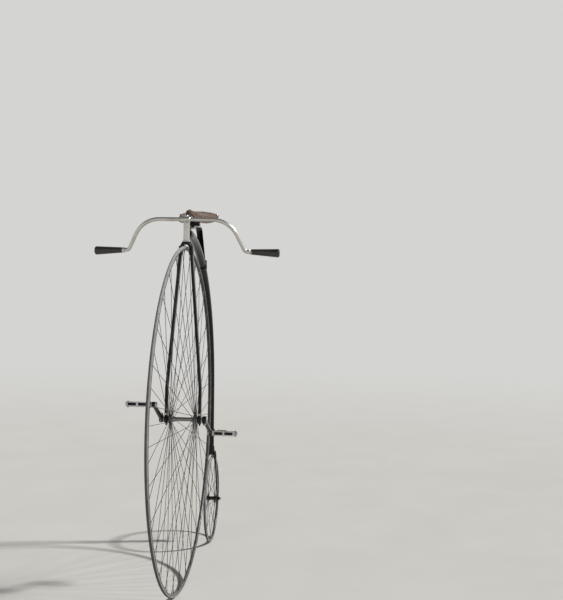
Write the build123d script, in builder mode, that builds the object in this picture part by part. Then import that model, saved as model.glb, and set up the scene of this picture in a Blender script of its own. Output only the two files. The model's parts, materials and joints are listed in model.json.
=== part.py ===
"""Penny farthing racing bicycle of about 1887, in millimetres.

+X points forward, +Y to the rider's left and +Z up. The origin is on top of the
saddle, where the rider sits, because the machine has no stand and the rider holds it.
"""

import os
from math import acos, asin, cos, degrees, radians, sin, sqrt, tan

from build123d import *

os.makedirs("parts", exist_ok=True)

# Fits between pieces
seat = 0.05  # radial gap of a fixed fit
running = 0.10  # radial gap of a turning fit
rest_gap = 0.30  # between curved faces that rest on each other

# Wheels
front_wheel_d = 1372.0
rear_wheel_d = 406.0
wheel_gap = 26.0  # between the two tyres
front_tyre_d = 12.0
rear_tyre_d = 10.0
front_rim_depth = 11.0  # from the middle of the tyre's section
rear_rim_depth = 10.0
rim_lip = 1.0  # thickness of the rim's edge beside the tyre
rim_lip_angle = 15.0  # below the tyre's widest line
front_spokes = 60
rear_spokes = 20
spoke_d = 2.0
spoke_rim_offset = 3.0  # each side's spokes meet the rim this far off its middle
spoke_hold = 2.0  # depth that a spoke is screwed into its flange
flange_edge = 1.0  # chamfer on the hubs' flanges and bosses

# Front hub and axle
front_flange_d = 34.0
front_flange_w = 14.0
front_flange_y = 49.5  # middle of the flange, from the middle of the wheel
front_spoke_row = 4.0  # each row's distance from the middle of the flange
front_spoke_tangent = 13.0  # the spokes' lines pass this far from the axle's centre
front_barrel_d = 16.0
front_boss_d = 25.0
front_boss_w = 2.5
front_axle_d = 13.0
front_axle_overhang = 2.0  # past the crank

# Front bearings
bearing_d = 36.0
bearing_w = 14.0
bearing_y = 67.0
bearing_top = 27.0  # flat on which the fork blade stands, above the axle
bearing_lug_depth = 27.0
bearing_lug_w = 11.0
bearing_bevel_w = 2.5  # bevels round the case, wider than they are deep outside
bearing_bevel_in = 3.0
bearing_bevel_out = 4.0
oil_cup_d = 7.0
oil_cup_h = 6.0
oil_cup_in = 4.0  # let into the case

# Steering
rake = 2.0  # degrees that the head leans back
fork_knee_h = 124.0  # above the axle; the blades stand upright below it
fork_top_y = 20.0
fork_top_depth = 33.0
fork_top_t = 12.0
fork_foot_depth = 24.0
fork_foot_t = 12.5
crown_gap = 6.5  # between the front tyre and the arch of the crown
crown_roof = 12.0  # metal over the arch
crown_foot_l = 60.0
crown_foot_depth = 35.0
crown_top_l = 34.0
crown_top_depth = 32.0
collar_wall = 2.0
collar_length = 34.0  # of the sockets that hold the fork blades
collar_roof = 2.0  # metal over the blades' tops
blade_short = 8.0  # the blades' tops are this far below the arch's
head_foot_d = 31.0
head_foot_h = 6.0
head_low_d = 26.5
head_top_d = 25.0
head_wall = 3.2
head_window_h = 68.0
head_cap_h = 23.0
head_edge = 1.5  # chamfer round its top
head_shell_angle = 84.0  # to each side of straight ahead
bar_lug_d = 22.0
bar_lug_w = 36.0
bar_lug_web = 20.0  # width of the metal between lug and head
bar_lug_edge = 2.0
bar_ahead = 22.0  # handlebar's line ahead of the steering centre
bar_below = 10.5  # handlebar's line below the top of the head
head_bolt_d = 14.0
head_bolt_h = 10.0
locknut_af = 15.0
locknut_h = 4.0

# Handlebar, seen from the front
bar_d = 16.0
bar_flat = 105.0  # half of the straight middle
bar_bend_r = 108.0
bar_bend = 64.0  # degrees that each side turns down
bar_drop = 126.0  # measured down the slope of its drops
bar_corner_r = 17.0
bar_tail = 48.0  # from the corner to the tube's end, in the handle
grip_slope = 2.0  # degrees below level
bar_tilt = 12.0  # degrees that the drops lean back
ferrule_d = 23.0
ferrule_l = 11.0
ferrule_start = 15.0  # from the corner
handle_l = 112.0
handle_neck_d = 22.0
handle_end_d = 34.0
handle_round = 8.0  # radius of the end's edge

# Cranks and pedals
crank_angle = 31.0  # right crank above level, ahead of the hub
crank_l = 137.0
crank_boss_d = 28.0
crank_boss_w = 16.0
crank_gap = 4.0  # between bearing and crank
crank_splay = 9.0  # the pedal's eye stands out past the boss
crank_eye_d = 23.0
crank_eye_w = 13.0
crank_root_w = 19.0
crank_root_t = 14.0
crank_tip_w = 15.0
crank_tip_t = 12.0
cotter_d = 8.0
cotter_l = 40.0
cotter_bite = 1.6  # depth of the notch in the axle
pin_d = 11.0
pin_collar_d = 18.0
pin_collar_w = 5.0
pin_nut_af = 17.0
pin_nut_h = 6.0
pedal_l = 90.0
pedal_pitch = 8.0  # degrees that each pedal's front edge is raised
pedal_depth = 76.0
pedal_plate_h = 20.0
pedal_plate_t = 2.4
pedal_tooth = 2.0
pedal_teeth = 13
pedal_window_h = 11.0
pedal_bridge = 8.0
pedal_barrel_d = 20.0
pedal_end_t = 3.0
pedal_end_h = 15.0
pedal_gap = 1.0  # between the collar and the barrel
dust_cap_d = 14.0
dust_cap_w = 7.0

# Backbone and neck
backbone_gap = 34.0  # between the front tyre and the tube
backbone_top_d = 36.0
backbone_foot_d = 21.0
neck_reach = 52.0  # from the steering centre to the end of the tube
neck_socket_l = 24.0
neck_socket_wall = 1.6
neck_web_t = 10.0
neck_web_play = 4.0  # above and below the web in the head's window
spindle_d = 13.0
spindle_end = 3.0  # height of its cones
spindle_room = 1.0  # left over the upper cone
bolt_pad_h = 2.5  # flat for the spring, above the socket
bolt_pad_w = 18.0
bolt_hole_l = 14.0

# Rear fork and axle
rear_crown_gap = 8.0
rear_crown_h = 15.0
rear_crown_wall = 2.0  # round the blades' tops
rear_arch_gap = 7.0  # beside the tyre, under the crown
rear_socket_wall = 2.4
rear_socket_flare = 1.5  # its foot is wider by this radius
rear_tube_in = 24.0  # length of tube inside the socket
rear_blade_top_y = 18.0
rear_blade_foot_y = 28.0
rear_blade_top_depth = 22.0
rear_blade_foot_depth = 17.0
rear_blade_t = 7.0
rear_end_d = 24.0
rear_flange_d = 30.0
rear_flange_w = 6.0
rear_flange_y = 16.0
rear_spoke_row = 1.5
rear_spoke_offset = 2.2
rear_spoke_tangent = 9.0
rear_barrel_d = 17.0
rear_boss_d = 20.0
rear_boss_w = 3.5
rear_axle_d = 8.0
rear_cone_d = 15.0
rear_stub_d = 7.0  # turned-down end past each nut
rear_stub_l = 7.0
rear_nut_af = 14.0
rear_nut_h = 6.0
rear_washer_d = 17.0
rear_washer_t = 1.6

# Mounting step on the left of the backbone
step_up = 318.0  # above the rear axle, along the tube
step_band_w = 24.0
step_band_t = 4.0
step_peg_d = 12.0
step_peg_l = 58.0
step_plate_l = 44.0
step_plate_w = 22.0
step_plate_t = 4.0

# Saddle and its spring
saddle_rise = 120.0  # its top above the backbone's centre line
saddle_setback = 215.0  # behind the front hub
leather_t = 4.5
leather_gap = 1.0  # between the leather and the frame under it
rail_d = 7.0
rail_nose_y = 4.0  # distances of a rail from the middle line
rail_clamp_y = 15.0
rail_cantle_y = 34.0
rail_bend_r = 70.0
rail_drop = 3.0  # below the cantle strip's underside
clamp_l = 30.0
clamp_w = 50.0
clamp_h = 19.0
clamp_x = 18.0
spring_top = -54.0
spring_t = 5.0
spring_w = 26.0
spring_front_x = 62.0  # end of its rise from the neck
spring_rear_x = -108.0  # where it turns down
spring_tail_angle = 35.0  # round the wheel from its top
spring_tail_l = 44.0
spring_foot_l = 26.0
spring_bend_r = 34.0
bolt_d = 8.0
bolt_head_af = 14.0
bolt_head_h = 5.5
bolt_hold = 12.0  # length of the spring's bolt in the neck
bolt_end = 3.0  # of the saddle's bolt, past its nut
clip_w = 18.0
clip_t = 3.5
clip_cheek = 6.0  # beside the spring
cantle_t = 3.0
cantle_l = 15.0
cantle_in = 1.0  # ahead of the leather's rear edge
nose_l = 22.0
nose_in = 2.0  # behind the leather's front edge
nose_drop = 2.2  # the nose block's flat top lies this far below the leather's arch

# Places worked out from the sizes above
front_r = front_wheel_d / 2
rear_r = rear_wheel_d / 2
backbone_r = front_r + backbone_gap + backbone_top_d / 2
hub = Vector(saddle_setback, 0, -saddle_rise - sqrt(backbone_r**2 - saddle_setback**2))
centres = front_r + rear_r + wheel_gap
rear_fall = front_r - rear_r
rear_hub = hub + Vector(-sqrt(centres**2 - rear_fall**2), 0, -rear_fall)
steer_up = Vector(-sin(radians(rake)), 0, cos(radians(rake)))
steer_ahead = Vector(cos(radians(rake)), 0, sin(radians(rake)))
side_plane = Plane(origin=hub, x_dir=(1, 0, 0), z_dir=(0, -1, 0))
head_plane = Plane(origin=hub, x_dir=steer_ahead, z_dir=(0, -1, 0))
steer_axis = Axis(hub, steer_up)
front_axle_axis = Axis(hub, (0, 1, 0))
rear_axle_axis = Axis(rear_hub, (0, 1, 0))


def steer_plane(height):
    """Plane square to the steering centre; x ahead and y to the left."""
    return Plane(origin=hub + steer_up * height, x_dir=steer_ahead, z_dir=steer_up)


def across(centre):
    """Plane through a wheel's axle; x to the left and y outwards."""
    return Plane(origin=centre, x_dir=(0, 1, 0), z_dir=(1, 0, 0))


def hexagon(across_flats):
    RegularPolygon(radius=across_flats / sqrt(3), side_count=6)


def write(piece, name):
    piece.label = name
    export_step(piece, f"parts/{name}.step")


# Wheels: solid rubber tyre in a hollow rim, tangent spokes screwed into the hub's flanges
def make_tyre(centre, wheel_r, tyre_d):
    with BuildPart() as tyre:
        with BuildSketch(across(centre)):
            with Locations((0, wheel_r - tyre_d / 2)):
                Circle(tyre_d / 2)
        revolve(axis=Axis(centre, (0, 1, 0)))
    return tyre.part


def make_rim(centre, wheel_r, tyre_d, depth):
    middle = wheel_r - tyre_d / 2
    groove = tyre_d / 2 + rest_gap
    outer = groove + rim_lip
    c, s = cos(radians(rim_lip_angle)), sin(radians(rim_lip_angle))
    with BuildPart() as rim:
        with BuildSketch(across(centre)):
            with BuildLine():
                ThreePointArc(
                    (-groove * c, middle - groove * s),
                    (0, middle - groove),
                    (groove * c, middle - groove * s),
                )
                Line((groove * c, middle - groove * s), (outer * c, middle - outer * s))
                ThreePointArc(
                    (outer * c, middle - outer * s),
                    (0, middle - depth),
                    (-outer * c, middle - outer * s),
                )
                Line((-outer * c, middle - outer * s), (-groove * c, middle - groove * s))
            make_face()
        revolve(axis=Axis(centre, (0, 1, 0)))
    return rim.part


def spoke_planes(centre, count, side, lean, flange_y, row, start_r, end_r, tangent, offset):
    """One row's planes at the flange, each looking along its spoke, and the spokes' length."""
    swing = degrees(acos(tangent / end_r) - acos(tangent / start_r))
    first = (0 if side > 0 else 1) + (0 if lean > 0 else 2)
    planes = []
    for k in range(first, count, 4):
        rim_angle = radians(360.0 * k / count)
        hub_angle = rim_angle - lean * radians(swing)
        start = centre + Vector(
            start_r * cos(hub_angle), side * (flange_y + lean * row), start_r * sin(hub_angle)
        )
        end = centre + Vector(end_r * cos(rim_angle), side * offset, end_r * sin(rim_angle))
        planes.append(Plane(origin=start, z_dir=end - start))
        length = (end - start).length
    return planes, length


def make_hub(centre, axle_gap_d, barrel_d, flange_d, flange_w, flange_y, boss_d, boss_w,
             spokes, row, tangent, offset, rim_inner):
    barrel_r, flange_r, boss_r = barrel_d / 2, flange_d / 2, boss_d / 2
    face_in, face_out = flange_y - flange_w / 2, flange_y + flange_w / 2
    half = [
        (face_in - flange_w, barrel_r),
        (face_in - flange_w * 0.2, barrel_r + (flange_r - barrel_r) * 0.4),
        (face_in, flange_r - flange_edge),
        (face_in + flange_edge, flange_r),
        (face_out - flange_edge, flange_r),
        (face_out, flange_r - flange_edge),
        (face_out, boss_r),
        (face_out + boss_w, boss_r - flange_edge),
        (face_out + boss_w, axle_gap_d / 2),
    ]
    outline = half + [(-x, y) for x, y in reversed(half)]
    with BuildPart() as hub_part:
        with BuildSketch(across(centre)):
            with BuildLine():
                Polyline(*outline, close=True)
            make_face()
        revolve(axis=Axis(centre, (0, 1, 0)))
        for side in (1, -1):
            for lean in (1, -1):
                planes, length = spoke_planes(
                    centre, spokes, side, lean, flange_y, row,
                    flange_r - spoke_hold, rim_inner - rest_gap, tangent, offset,
                )
                with BuildSketch(*planes):
                    Circle(spoke_d / 2)
                extrude(amount=length)
    return hub_part.part


front_rim_inner = front_r - front_tyre_d / 2 - front_rim_depth
rear_rim_inner = rear_r - rear_tyre_d / 2 - rear_rim_depth
write(make_tyre(hub, front_r, front_tyre_d), "front_tyre")
write(make_rim(hub, front_r, front_tyre_d, front_rim_depth), "front_rim")
write(
    make_hub(
        hub, front_axle_d + 2 * seat, front_barrel_d, front_flange_d, front_flange_w,
        front_flange_y, front_boss_d, front_boss_w, front_spokes, front_spoke_row,
        front_spoke_tangent, spoke_rim_offset, front_rim_inner,
    ),
    "front_hub",
)
write(make_tyre(rear_hub, rear_r, rear_tyre_d), "rear_tyre")
write(make_rim(rear_hub, rear_r, rear_tyre_d, rear_rim_depth), "rear_rim")
write(
    make_hub(
        rear_hub, rear_axle_d + 2 * running, rear_barrel_d, rear_flange_d, rear_flange_w,
        rear_flange_y, rear_boss_d, rear_boss_w, rear_spokes, rear_spoke_row,
        rear_spoke_tangent, rear_spoke_offset, rear_rim_inner,
    ),
    "rear_hub",
)

# Cranks: each boss is held on the axle by a cotter, and each eye holds a pedal pin
crank_y = bearing_y + bearing_w / 2 + crank_gap  # inner face of the boss
eye_y = crank_y + crank_splay
cotter_off = front_axle_d / 2 + cotter_d / 2 - cotter_bite
sides = [("left", 1, crank_angle + 180), ("right", -1, crank_angle)]  # name, side, angle
pedal_ahead = Vector(cos(radians(pedal_pitch)), 0, sin(radians(pedal_pitch)))


def crank_frame(side, angle, along, out):
    """Point on a crank: along the arm from the axle, and out from the wheel's middle."""
    return hub + Vector(along * cos(radians(angle)), side * out, along * sin(radians(angle)))


def cotter_section(side, angle, grow):
    """The cotter's round section at its foot, looking along the cotter."""
    middle = crank_frame(side, angle, cotter_off, crank_y + crank_boss_w / 2)
    square = Vector(-sin(radians(angle)), 0, cos(radians(angle)))
    with BuildSketch(Plane(origin=middle - square * cotter_l / 2, z_dir=square)) as section:
        Circle(cotter_d / 2 + grow)
    return section.sketch


for name, side, angle in sides:
    arm = Vector(cos(radians(angle)), 0, sin(radians(angle)))
    out = Vector(0, side, 0)
    with BuildPart() as crank:
        with BuildSketch(Plane(origin=crank_frame(side, angle, 0, crank_y), z_dir=out)):
            Circle(crank_boss_d / 2)
        extrude(amount=crank_boss_w)
        with BuildSketch(Plane(origin=crank_frame(side, angle, crank_l, eye_y), z_dir=out)):
            Circle(crank_eye_d / 2)
        extrude(amount=crank_eye_w)
        root_at = crank_boss_d * 0.3
        tip_at = crank_l - crank_eye_d * 0.3
        root = crank_frame(side, angle, root_at, crank_y + crank_boss_w / 2)
        tip = crank_frame(side, angle, tip_at, eye_y + crank_eye_w / 2)
        with BuildSketch(Plane(origin=root, x_dir=out, z_dir=arm)):
            RectangleRounded(crank_root_t, crank_root_w, crank_root_t * 0.35)
        with BuildSketch(Plane(origin=tip, x_dir=out, z_dir=arm)):
            RectangleRounded(crank_tip_t, crank_tip_w, crank_tip_t * 0.35)
        loft()
        with BuildSketch(Plane(origin=crank_frame(side, angle, 0, crank_y), z_dir=out)):
            Circle(front_axle_d / 2 + seat)
        extrude(amount=crank_boss_w, mode=Mode.SUBTRACT)
        with BuildSketch(Plane(origin=crank_frame(side, angle, crank_l, eye_y), z_dir=out)):
            Circle(pin_d / 2 + seat)
        extrude(amount=crank_eye_w, mode=Mode.SUBTRACT)
        extrude(cotter_section(side, angle, seat), amount=cotter_l, mode=Mode.SUBTRACT)
    write(crank.part, f"crank_{name}")

    with BuildPart() as cotter:
        extrude(cotter_section(side, angle, 0), amount=cotter_l)
    write(cotter.part, f"cotter_{name}")

    # The pedal's pin: nut inside the eye, collar outside it, then the journal
    pin_start = eye_y - pin_nut_h
    barrel_start = eye_y + crank_eye_w + pin_collar_w + pedal_gap
    barrel_end = barrel_start + pedal_l
    with BuildPart() as pin:
        with BuildSketch(Plane(origin=crank_frame(side, angle, crank_l, pin_start), z_dir=out)):
            Circle(pin_d / 2)
        extrude(amount=barrel_end - pin_start)
        with BuildSketch(Plane(origin=crank_frame(side, angle, crank_l, pin_start), z_dir=out)):
            hexagon(pin_nut_af)
        extrude(amount=pin_nut_h)
        with BuildSketch(
            Plane(origin=crank_frame(side, angle, crank_l, eye_y + crank_eye_w), z_dir=out)
        ):
            Circle(pin_collar_d / 2)
        extrude(amount=pin_collar_w)
        with BuildSketch(
            Plane(origin=crank_frame(side, angle, crank_l, barrel_end + running), z_dir=out)
        ):
            Circle(dust_cap_d / 2)
        extrude(amount=dust_cap_w, taper=12)
        with BuildSketch(Plane(origin=crank_frame(side, angle, crank_l, barrel_end), z_dir=out)):
            Circle(pin_d / 2)
        extrude(amount=running)
    write(pin.part, f"pedal_pin_{name}")

    # The pedal's barrel with a cross plate at each end
    def pedal_point(ahead, along_pin):
        return crank_frame(side, angle, crank_l, along_pin) + pedal_ahead * ahead

    plate_x = pedal_depth / 2 - pedal_plate_t
    with BuildPart() as barrel:
        with BuildSketch(Plane(origin=pedal_point(0, barrel_start), z_dir=out)):
            Circle(pedal_barrel_d / 2)
        extrude(amount=pedal_l)
        for at in (barrel_start, barrel_end - pedal_end_t):
            with BuildSketch(Plane(origin=pedal_point(0, at), x_dir=pedal_ahead, z_dir=out)):
                Rectangle(2 * plate_x, pedal_end_h)
                Circle(pedal_barrel_d / 2 + pedal_end_t)
            extrude(amount=pedal_end_t)
        with BuildSketch(Plane(origin=pedal_point(0, barrel_start), z_dir=out)):
            Circle(pin_d / 2 + running)
        extrude(amount=pedal_l, mode=Mode.SUBTRACT)
    write(barrel.part, f"pedal_barrel_{name}")

    # The two toothed tread plates, each with two windows
    pitch = pedal_l / pedal_teeth
    top = [
        point
        for i in range(pedal_teeth)
        for point in (
            (-pedal_l / 2 + i * pitch, pedal_plate_h / 2 - pedal_tooth),
            (-pedal_l / 2 + (i + 0.5) * pitch, pedal_plate_h / 2),
        )
    ]
    top.append((pedal_l / 2, pedal_plate_h / 2 - pedal_tooth))
    outline = top + [(x, -y) for x, y in reversed(top)]
    window_l = (pedal_l - 3 * pedal_bridge) / 2
    with BuildPart() as treads:
        for ahead in (plate_x, -plate_x - pedal_plate_t):
            middle = pedal_point(ahead, (barrel_start + barrel_end) / 2)
            with BuildSketch(Plane(origin=middle, x_dir=(0, 1, 0), z_dir=pedal_ahead)):
                with BuildLine():
                    Polyline(*outline, close=True)
                make_face()
                with GridLocations(window_l + pedal_bridge, 0, 2, 1):
                    Rectangle(window_l, pedal_window_h, mode=Mode.SUBTRACT)
            extrude(amount=pedal_plate_t)
    write(treads.part, f"pedal_treads_{name}")

# Front axle, through the hub and both bearings
axle_half = crank_y + crank_boss_w + front_axle_overhang
with BuildPart() as front_axle:
    with BuildSketch(Plane(origin=hub + Vector(0, -axle_half, 0), z_dir=(0, 1, 0))):
        Circle(front_axle_d / 2)
    extrude(amount=2 * axle_half)
    chamfer(front_axle.edges().filter_by(GeomType.CIRCLE), length=1.0)
    for _, side, angle in sides:
        extrude(cotter_section(side, angle, seat), amount=cotter_l, mode=Mode.SUBTRACT)
write(front_axle.part, "front_axle")

# Bearing cases: round case, lug on top for the fork blade, oil cup below
fork_top = front_r + crown_gap - blade_short


def fork_y(height):
    share = max(0, (height - fork_knee_h) / (fork_top - fork_knee_h))
    return bearing_y + (fork_top_y - bearing_y) * share


def fork_section(side, height, grow):
    """The oval section of a fork blade at a height above the axle."""
    share = (height - bearing_top) / (fork_top - bearing_top)
    depth = fork_foot_depth + (fork_top_depth - fork_foot_depth) * share
    thick = fork_foot_t + (fork_top_t - fork_foot_t) * share
    with BuildSketch(steer_plane(height)) as section:
        with Locations((0, side * fork_y(height))):
            SlotOverall(depth + 2 * grow, thick + 2 * grow)
    return section.sketch


for name, side, _ in sides:
    inner = side * (bearing_y - bearing_w / 2)
    outer = side * (bearing_y + bearing_w / 2)
    bevel = side * bearing_bevel_w
    profile = [
        (inner, front_axle_d / 2 + running),
        (inner, bearing_d / 2 - bearing_bevel_in),
        (inner + bevel, bearing_d / 2),
        (outer - bevel, bearing_d / 2),
        (outer, bearing_d / 2 - bearing_bevel_out),
        (outer, front_axle_d / 2 + running),
    ]
    with BuildPart() as bearing:
        with BuildSketch(steer_plane(0)):
            with Locations((0, side * bearing_y)):
                Rectangle(bearing_lug_depth, bearing_lug_w)
        extrude(amount=bearing_top)
        with BuildSketch(across(hub)):
            with BuildLine():
                Polyline(*profile, close=True)
            make_face()
        revolve(axis=front_axle_axis)
        with BuildSketch(steer_plane(-bearing_d / 2 - oil_cup_h)):
            with Locations((0, side * bearing_y)):
                Circle(oil_cup_d / 2)
        extrude(amount=oil_cup_h + oil_cup_in)
        with BuildSketch(Plane(origin=hub + Vector(0, inner, 0), z_dir=(0, side, 0))):
            Circle(front_axle_d / 2 + running)
        extrude(amount=bearing_w, mode=Mode.SUBTRACT)
    write(bearing.part, f"bearing_case_{name}")

    with BuildPart() as blade:
        heights = (bearing_top, fork_knee_h, fork_top)
        loft([fork_section(side, h, 0) for h in heights], ruled=True)
    write(blade.part, f"fork_blade_{name}")

# Crown: an arch over the tyre with a socket for each blade
arch_r = front_tyre_d / 2 + crown_gap
crown_top = front_r + crown_gap + crown_roof
arch_middle = front_r - front_tyre_d / 2
with BuildPart() as crown:
    with BuildSketch(steer_plane(arch_middle)):
        SlotOverall(crown_foot_l, crown_foot_depth, rotation=90)
    with BuildSketch(steer_plane(crown_top)):
        SlotOverall(crown_top_l, crown_top_depth, rotation=90)
    loft()
    for side in (1, -1):
        collar_low = fork_top - collar_length
        collar_high = fork_top + collar_roof
        loft([fork_section(side, h, collar_wall) for h in (collar_low, collar_high)])
    for side in (1, -1):
        loft(
            [fork_section(side, h, seat) for h in (collar_low, fork_top)], mode=Mode.SUBTRACT
        )
    arch_plane = Plane(origin=hub + steer_up * arch_middle, x_dir=(0, 1, 0), z_dir=steer_ahead)
    with BuildSketch(arch_plane):
        Circle(arch_r)
        with Locations((0, -collar_length / 2)):
            Rectangle(2 * arch_r, collar_length)
    extrude(amount=crown_foot_depth, both=True, mode=Mode.SUBTRACT)
write(crown.part, "fork_crown")

# Head: closed rings at foot and top, joined by a shell open at the back for the neck
window_low = crown_top + head_foot_h
window_top = window_low + head_window_h
head_top = window_top + head_cap_h
bar_height = head_top - bar_below
with BuildPart() as head:
    with BuildSketch(head_plane):
        with BuildLine():
            Polyline(
                (0, crown_top),
                (head_foot_d / 2, crown_top),
                (head_foot_d / 2, crown_top + head_foot_h * 0.6),
                (head_low_d / 2, window_low),
                (head_top_d / 2, window_top),
                (head_top_d / 2, head_top - head_edge),
                (head_top_d / 2 - head_edge, head_top),
                (0, head_top),
                close=True,
            )
        make_face()
    revolve(axis=steer_axis)
    bar_centre = hub + steer_up * bar_height + steer_ahead * bar_ahead
    lug_start = bar_centre + Vector(0, -bar_lug_w / 2, 0)
    web_low = bar_height - bar_lug_d / 2
    with BuildSketch(steer_plane(web_low)):
        with Locations((bar_ahead / 2, 0)):
            Rectangle(bar_ahead, bar_lug_web)
    extrude(amount=head_top - head_edge - web_low)
    with BuildSketch(Plane(origin=lug_start, z_dir=(0, 1, 0))):
        Circle(bar_lug_d / 2)
    extrude(amount=bar_lug_w)
    lug_rims = head.edges(Select.LAST).filter_by(GeomType.CIRCLE).group_by(Axis.Y)
    chamfer(lug_rims[0] + lug_rims[-1], length=bar_lug_edge)
    with BuildSketch(steer_plane(window_low)):
        Circle(head_low_d / 2 - head_wall)
        with BuildLine():
            behind = radians(180 - head_shell_angle)
            reach = head_foot_d * 2
            Polyline(
                (0, 0),
                (-reach * cos(behind), reach * sin(behind)),
                (-reach * 2, 0),
                (-reach * cos(behind), -reach * sin(behind)),
                close=True,
            )
        make_face()
    extrude(amount=head_window_h, mode=Mode.SUBTRACT)
    with BuildSketch(steer_plane(crown_top)):
        Circle(spindle_d / 2 + running)
    extrude(amount=window_top - crown_top + spindle_end + spindle_room, mode=Mode.SUBTRACT)
    with BuildSketch(Plane(origin=lug_start, z_dir=(0, 1, 0))):
        Circle(bar_d / 2 + seat)
    extrude(amount=bar_lug_w, mode=Mode.SUBTRACT)
write(head.part, "head")

# Adjusting bolt on top of the head: locknut and domed head
with BuildPart() as head_bolt:
    with BuildSketch(steer_plane(head_top)):
        hexagon(locknut_af)
    extrude(amount=locknut_h)
    with BuildSketch(head_plane):
        with BuildLine():
            dome_low = head_top + head_bolt_h - head_bolt_d / 2
            CenterArc((0, dome_low), head_bolt_d / 2, 0, 90)
            Polyline(
                (0, head_top + head_bolt_h),
                (0, head_top),
                (head_bolt_d / 2, head_top),
                (head_bolt_d / 2, dome_low),
            )
        make_face()
    revolve(axis=steer_axis)
write(head_bolt.part, "head_bolt")

# Handlebar: one tube in a plane that leans back, its ends turned outwards
tilt = radians(bar_tilt)
bar_plane = Plane(origin=bar_centre, x_dir=(0, 1, 0), z_dir=(cos(tilt), 0, -sin(tilt)))
shoulder_y = bar_flat + bar_bend_r * tan(radians(bar_bend) / 2)
corner_y = shoulder_y + bar_drop / tan(radians(bar_bend))
slope = radians(grip_slope)


def grip_point(side, along):
    """Point on the handle's line, along it from the bar's lower corner."""
    return (side * (corner_y + along * cos(slope)), -bar_drop - along * sin(slope))


with BuildPart() as handlebar:
    with BuildLine(bar_plane) as bar_line:
        FilletPolyline(
            grip_point(-1, bar_tail),
            grip_point(-1, 0),
            (-shoulder_y, 0),
            (shoulder_y, 0),
            grip_point(1, 0),
            grip_point(1, bar_tail),
            radius=[bar_corner_r, bar_bend_r, bar_bend_r, bar_corner_r],
        )
    with BuildSketch(Plane(origin=bar_line.line @ 0, z_dir=bar_line.line % 0)):
        Circle(bar_d / 2)
    sweep(path=bar_line.line)
write(handlebar.part, "handlebar")

for name, side, _ in sides:
    # Sketch plane with x out along the handle's line and y square to it
    start = bar_plane.from_local_coords((*grip_point(side, ferrule_start), 0))
    end = bar_plane.from_local_coords((*grip_point(side, ferrule_start + handle_l), 0))
    line = (end - start).normalized()
    grip_plane = Plane(origin=start, x_dir=line, z_dir=bar_plane.z_dir)
    grip_axis = Axis(start, line)
    bore = bar_d / 2 + seat
    with BuildPart() as ferrule:
        with BuildSketch(grip_plane):
            with BuildLine():
                Line((0, bore), (0, ferrule_d / 2 - 2.0))
                ThreePointArc(
                    (0, ferrule_d / 2 - 2.0),
                    (ferrule_l * 0.25, ferrule_d / 2),
                    (ferrule_l * 0.5, ferrule_d / 2 - 2.0),
                )
                Line((ferrule_l * 0.5, ferrule_d / 2 - 2.0), (ferrule_l, ferrule_d / 2 - 1.0))
                Line((ferrule_l, ferrule_d / 2 - 1.0), (ferrule_l, bore))
                Line((ferrule_l, bore), (0, bore))
            make_face()
        revolve(axis=grip_axis)
    write(ferrule.part, f"ferrule_{name}")

    handle_end = ferrule_l + handle_l
    bore_end = bar_tail - ferrule_start + seat
    swell = handle_end - handle_round
    with BuildPart() as handle:
        with BuildSketch(grip_plane):
            with BuildLine():
                Line((ferrule_l, bore), (ferrule_l, handle_neck_d / 2))
                Line((ferrule_l, handle_neck_d / 2), (swell, handle_end_d / 2))
                RadiusArc(
                    (swell, handle_end_d / 2),
                    (handle_end, handle_end_d / 2 - handle_round),
                    handle_round,
                )
                Polyline(
                    (handle_end, handle_end_d / 2 - handle_round),
                    (handle_end, 0),
                    (bore_end, 0),
                    (bore_end, bore),
                    (ferrule_l, bore),
                )
            make_face()
        revolve(axis=grip_axis)
    write(handle.part, f"handle_{name}")

# Backbone: a tapered tube round the wheel, then straight to the rear fork
tube_start = rake + degrees(asin(neck_reach / backbone_r))
rear_bearing = 90 + degrees(asin(rear_fall / centres))
tube_leave = rear_bearing - degrees(acos(backbone_r / centres))
straight_l = sqrt(centres**2 - backbone_r**2)
arc_l = backbone_r * radians(tube_leave - tube_start)
tube_foot = rear_r + rear_crown_gap + rear_crown_h  # from the rear axle to the tube's end
tube_l = arc_l + straight_l - tube_foot


def wheel_point(radius, angle):
    """Point round the front wheel, by degrees back from its top."""
    return hub + Vector(-radius * sin(radians(angle)), 0, radius * cos(radians(angle)))


tube_line = (wheel_point(backbone_r, tube_leave) - rear_hub).normalized()


def rear_plane(distance):
    """Plane square to the rear fork; x ahead and y to the left, at a distance from the axle."""
    return Plane(
        origin=rear_hub + tube_line * distance,
        x_dir=Vector(tube_line.Z, 0, -tube_line.X),
        z_dir=tube_line,
    )


def tube_r(along):
    """The backbone's radius, by the length of tube from its top."""
    return (backbone_top_d + (backbone_foot_d - backbone_top_d) * along / tube_l) / 2


with BuildPart() as backbone:
    with BuildLine(side_plane) as tube_arc:
        CenterArc((0, 0), backbone_r, 90 + tube_start, tube_leave - tube_start)
    with BuildSketch(Plane(origin=tube_arc.line @ 0, z_dir=tube_arc.line % 0)):
        Circle(tube_r(0))
    with BuildSketch(Plane(origin=tube_arc.line @ 1, z_dir=tube_arc.line % 1)):
        Circle(tube_r(arc_l))
    sweep(path=tube_arc.line, multisection=True)
    with BuildSketch(rear_plane(straight_l)):
        Circle(tube_r(arc_l))
    with BuildSketch(rear_plane(tube_foot)):
        Circle(backbone_foot_d / 2)
    loft()
write(backbone.part, "backbone")

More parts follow.
